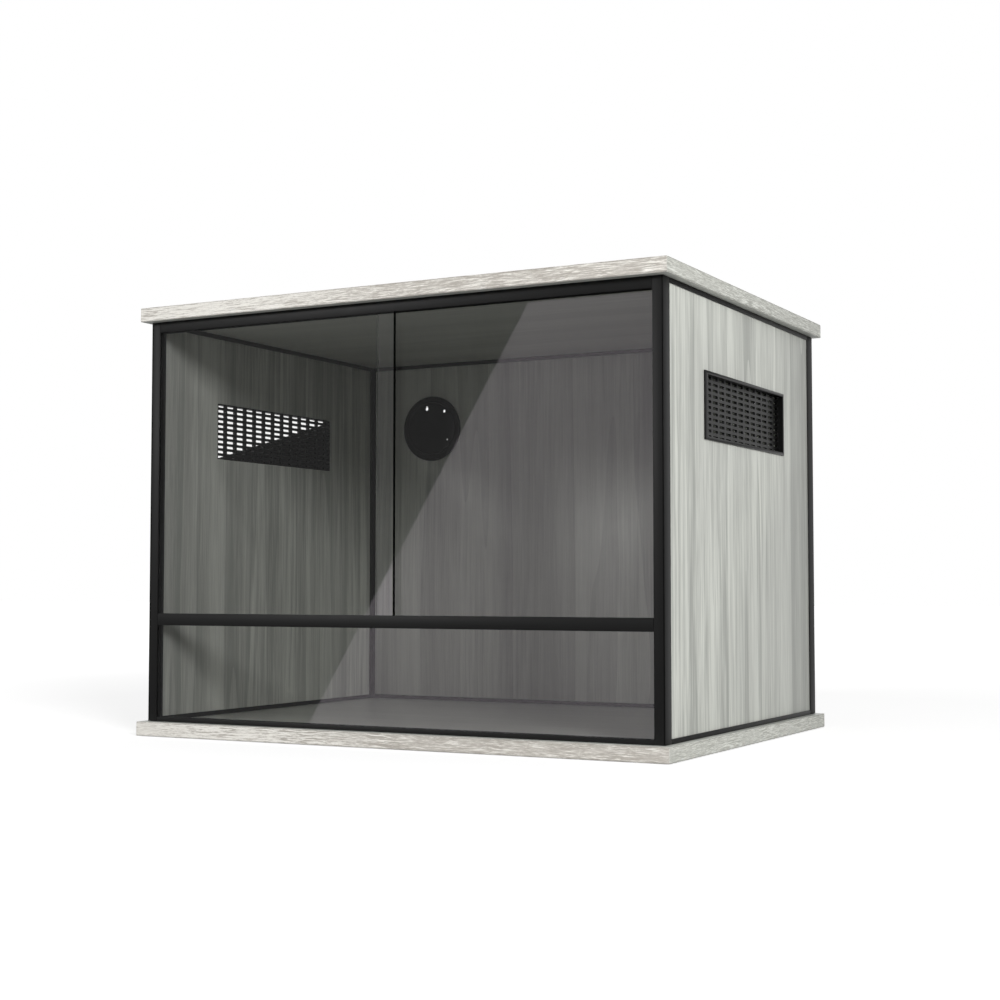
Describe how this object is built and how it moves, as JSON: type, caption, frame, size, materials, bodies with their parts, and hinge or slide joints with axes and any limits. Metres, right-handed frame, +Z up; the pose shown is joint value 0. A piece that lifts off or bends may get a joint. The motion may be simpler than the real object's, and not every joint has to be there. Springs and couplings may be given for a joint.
{
  "type": "terrarium cabinet",
  "caption": "Box-shaped reptile terrarium with sliding glass doors over a fixed glass pane, a black extruded frame, wood-grain panels, side vents and a round rear cable port.",
  "frame": {"origin": "centre of the footprint, on the surface that the cabinet stands on", "axes": "+X to the right seen from the front, +Y to the back, +Z up"},
  "size_m": [0.61, 0.457, 0.457],
  "materials": {
    "board_laminate": "pale grey wood-grain laminate over board, broken edges",
    "panel_laminate": "grey wood-grain laminate, upright grain, satin",
    "black_frame": "satin black coated extrusion",
    "black_plastic": "moulded, fine matte",
    "clear_glass": "clear, polished edges",
    "glide_nylon": "smooth black nylon",
    "screw_steel": "bright zinc"
  },
  "bodies": {
    "cabinet": {"base_board": "board_laminate", "top_board": "board_laminate", "front_left_post": "black_frame", "front_right_post": "black_frame", "rear_left_post": "black_frame", "rear_right_post": "black_frame", "left_base_rail": "black_frame", "right_base_rail": "black_frame", "rear_base_rail": "black_frame", "front_base_rail": "black_frame", "left_top_rail": "black_frame", "right_top_rail": "black_frame", "rear_top_rail": "black_frame", "front_top_rail": "black_frame", "front_mid_rail": "black_frame", "left_side_panel": "panel_laminate", "right_side_panel": "panel_laminate", "back_panel": "panel_laminate", "left_vent_grille": "black_plastic", "right_vent_grille": "black_plastic", "cable_port_flange": "black_plastic", "fixed_front_glass": "clear_glass", "front_door_glide": "glide_nylon", "rear_door_glide": "glide_nylon", "pane_setting_strip": "glide_nylon", "left_base_rail_screw_1": "screw_steel", "left_base_rail_screw_2": "screw_steel", "left_top_rail_screw_1": "screw_steel", "left_top_rail_screw_2": "screw_steel", "right_base_rail_screw_1": "screw_steel", "right_base_rail_screw_2": "screw_steel", "right_top_rail_screw_1": "screw_steel", "right_top_rail_screw_2": "screw_steel", "rear_base_rail_screw_1": "screw_steel", "rear_base_rail_screw_2": "screw_steel", "rear_top_rail_screw_1": "screw_steel", "rear_top_rail_screw_2": "screw_steel", "front_base_rail_screw_1": "screw_steel", "front_base_rail_screw_2": "screw_steel", "front_top_rail_screw_1": "screw_steel", "front_top_rail_screw_2": "screw_steel"},
    "left_door": {"left_door_glass": "clear_glass"},
    "right_door": {"right_door_glass": "clear_glass"},
    "port_cap": {"cable_port_cap": "black_plastic"}
  },
  "joints": [
    {"name": "left_door_slide", "type": "slide", "parent": "cabinet", "child": "left_door", "axis": [1, 0, 0], "range_m": [0, 0.2864]},
    {"name": "right_door_slide", "type": "slide", "parent": "cabinet", "child": "right_door", "axis": [1, 0, 0], "range_m": [-0.2807, 0.0057]},
    {"name": "port_cap_turn", "type": "hinge", "parent": "cabinet", "child": "port_cap", "pos_m": [-0.199, 0.2097, 0.359], "axis": [0, 1, 0], "continuous": true}
  ]
}
